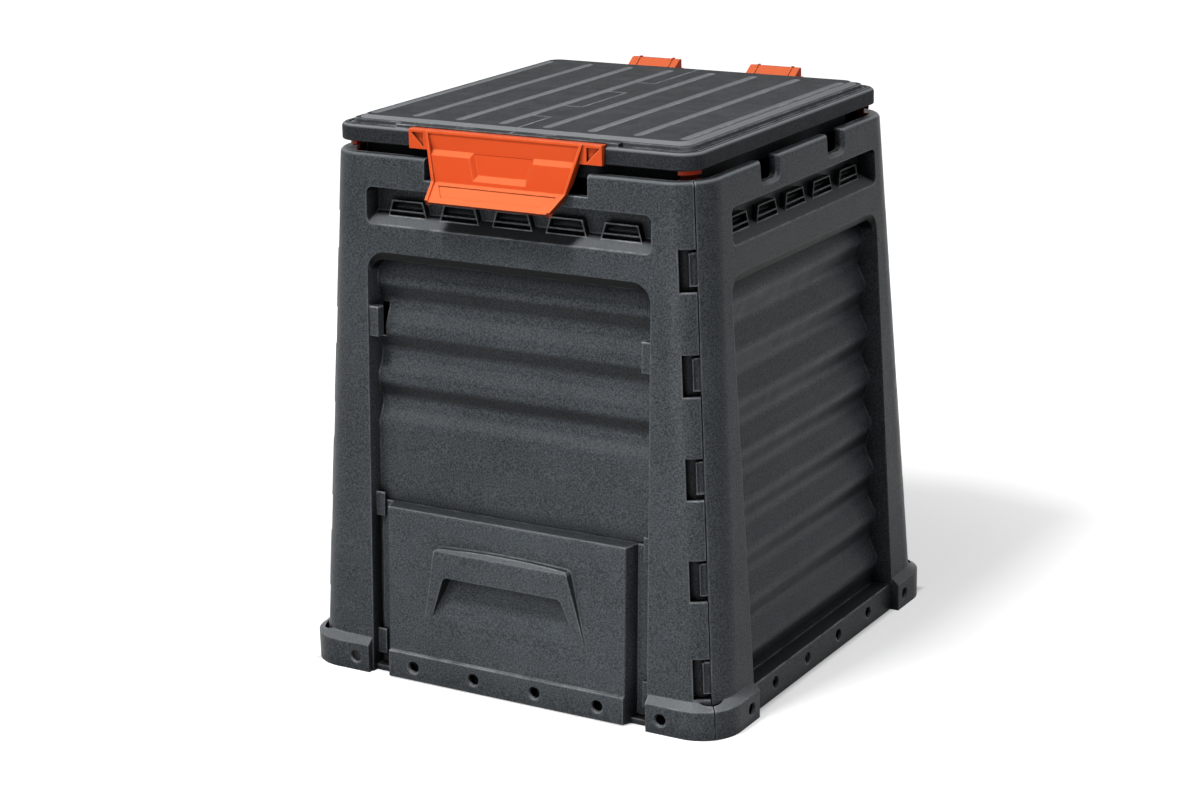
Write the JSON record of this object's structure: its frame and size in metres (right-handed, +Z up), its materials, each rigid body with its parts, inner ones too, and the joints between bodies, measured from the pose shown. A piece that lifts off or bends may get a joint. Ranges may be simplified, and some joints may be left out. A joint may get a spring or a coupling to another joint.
{
  "type": "compost bin",
  "caption": "Square garden compost bin of snap-together leaning plastic walls with louvred vents, a sliding bottom hatch and a hinged lid with a pull handle.",
  "frame": {"origin": "centre of the footprint on the ground plane", "axes": "+Z up, -Y towards the hatch side (front), +X to the right of someone facing the hatch"},
  "size_m": [0.65, 0.65, 0.76],
  "materials": {
    "charcoal_plastic": "fine grained moulding",
    "orange_plastic": "smooth satin moulding"
  },
  "bodies": {
    "bin": {"front_panel": "charcoal_plastic", "right_panel": "charcoal_plastic", "rear_panel": "charcoal_plastic", "left_panel": "charcoal_plastic", "corner_lock_front_right": "orange_plastic", "corner_lock_rear_right": "orange_plastic", "corner_lock_rear_left": "orange_plastic", "corner_lock_front_left": "orange_plastic"},
    "lid": {"lid_left_half": "charcoal_plastic", "lid_right_half": "charcoal_plastic", "lid_handle": "orange_plastic", "hinge_left": "orange_plastic", "hinge_right": "orange_plastic"},
    "hatch": {"hatch": "charcoal_plastic"}
  },
  "joints": [
    {"name": "lid_hinge", "type": "hinge", "parent": "bin", "child": "lid", "pos_m": [0, 0.2758, 0.697], "axis": [-1, 0, 0], "range_deg": [0, 105]},
    {"name": "hatch_slide", "type": "slide", "parent": "bin", "child": "hatch", "axis": [0, 0.0527, 0.9986], "range_m": [0, 0.23]}
  ]
}
